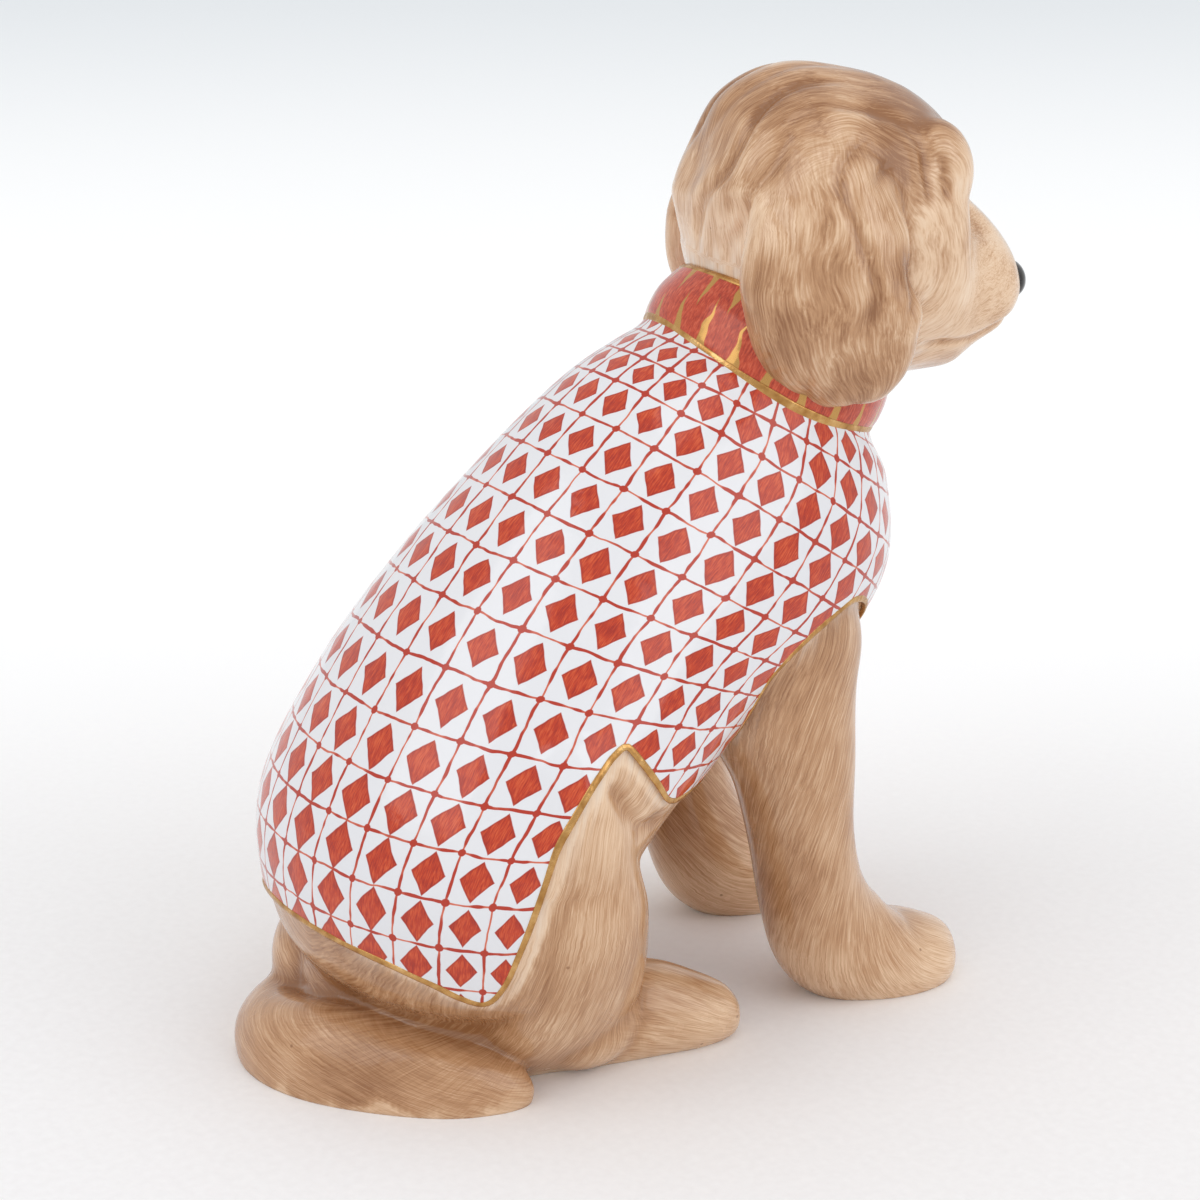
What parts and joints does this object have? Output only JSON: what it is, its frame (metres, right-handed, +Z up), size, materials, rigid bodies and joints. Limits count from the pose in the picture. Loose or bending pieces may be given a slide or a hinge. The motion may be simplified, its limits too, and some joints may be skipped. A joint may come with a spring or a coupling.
{
  "type": "dog figurine",
  "caption": "Glazed porcelain figurine of a seated puppy in a coat with a rolled collar, head turned to its right.",
  "frame": {"origin": "middle of the figurine's extent, on the plane it sits on", "axes": "+Z up, the puppy's chest towards -Y, its left side towards +X"},
  "size_m": [0.0516, 0.0924, 0.1007],
  "materials": {
    "coat_glaze": "clear gloss glaze over white porcelain, painted in rust red with gilt edges",
    "fur_glaze": "clear gloss glaze over tan fur painted in fine brush strokes",
    "collar_glaze": "clear gloss glaze over rust red, with gilt ribs and edges"
  },
  "bodies": {
    "root": {"coat_body": "coat_glaze", "rump": "fur_glaze", "collar": "collar_glaze", "head": "fur_glaze", "tail": "fur_glaze", "ear_left": "fur_glaze", "ear_right": "fur_glaze", "foreleg_left": "fur_glaze", "foreleg_right": "fur_glaze", "haunch_left": "fur_glaze", "haunch_right": "fur_glaze", "hind_foot_left": "fur_glaze", "hind_foot_right": "fur_glaze"}
  },
  "joints": []
}
